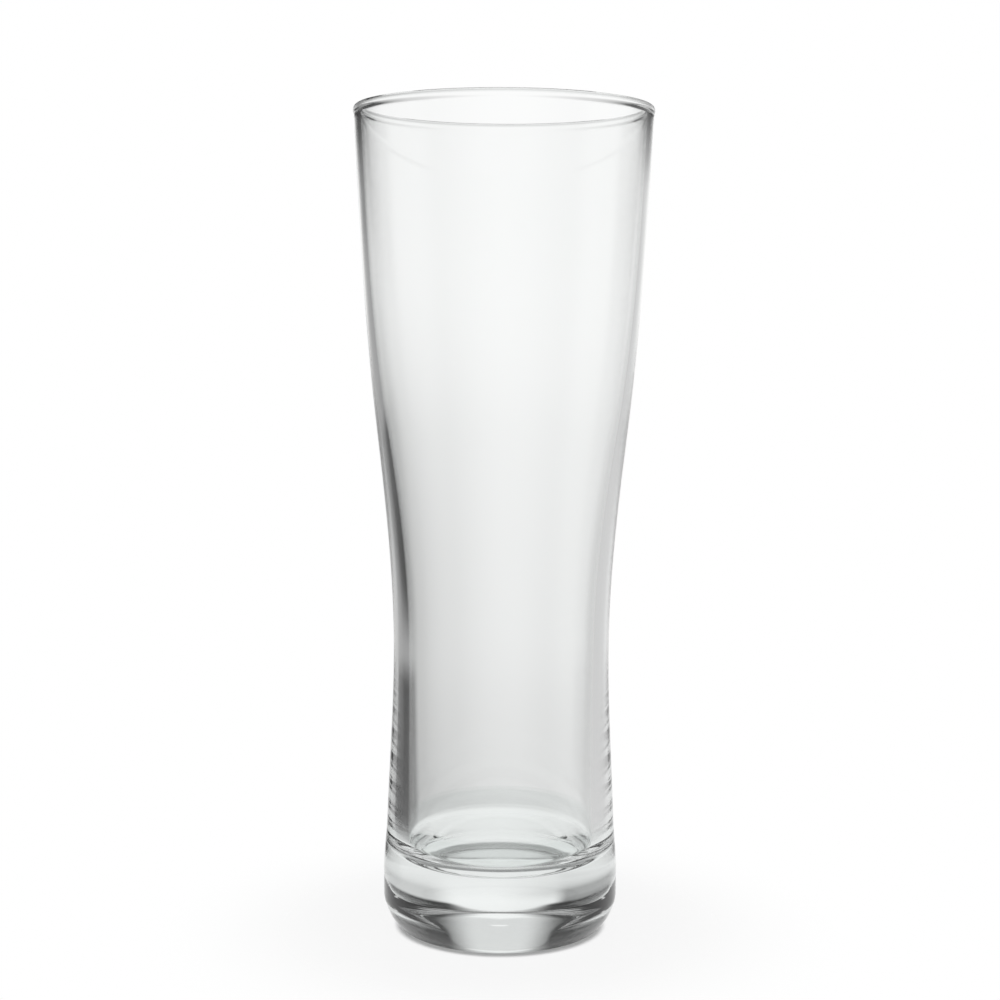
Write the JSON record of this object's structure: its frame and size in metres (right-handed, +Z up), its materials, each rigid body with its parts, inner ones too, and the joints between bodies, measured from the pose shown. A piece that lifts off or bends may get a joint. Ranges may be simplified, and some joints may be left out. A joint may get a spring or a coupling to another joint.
{
  "type": "pilsner glass",
  "caption": "Tall clear drinking glass for beer, with a heavy solid base, a narrow waist and a flared thin-walled bowl that ends in a rounded fire-polished rim.",
  "frame": {"origin": "centre of the flat ring that the glass stands on, at the level of the table", "axes": "+Z up along the axis that the glass is turned about; X and Y are alike"},
  "size_m": [0.068, 0.068, 0.188],
  "materials": {
    "base_glass": "clear, thick, with a faint green-grey tint, polished",
    "bowl_glass": "clear, colourless, polished",
    "rim_glass": "clear, colourless, fire-polished"
  },
  "bodies": {
    "root": {"sham_base": "base_glass", "bowl_wall": "bowl_glass", "rim_bead": "rim_glass"}
  },
  "joints": []
}
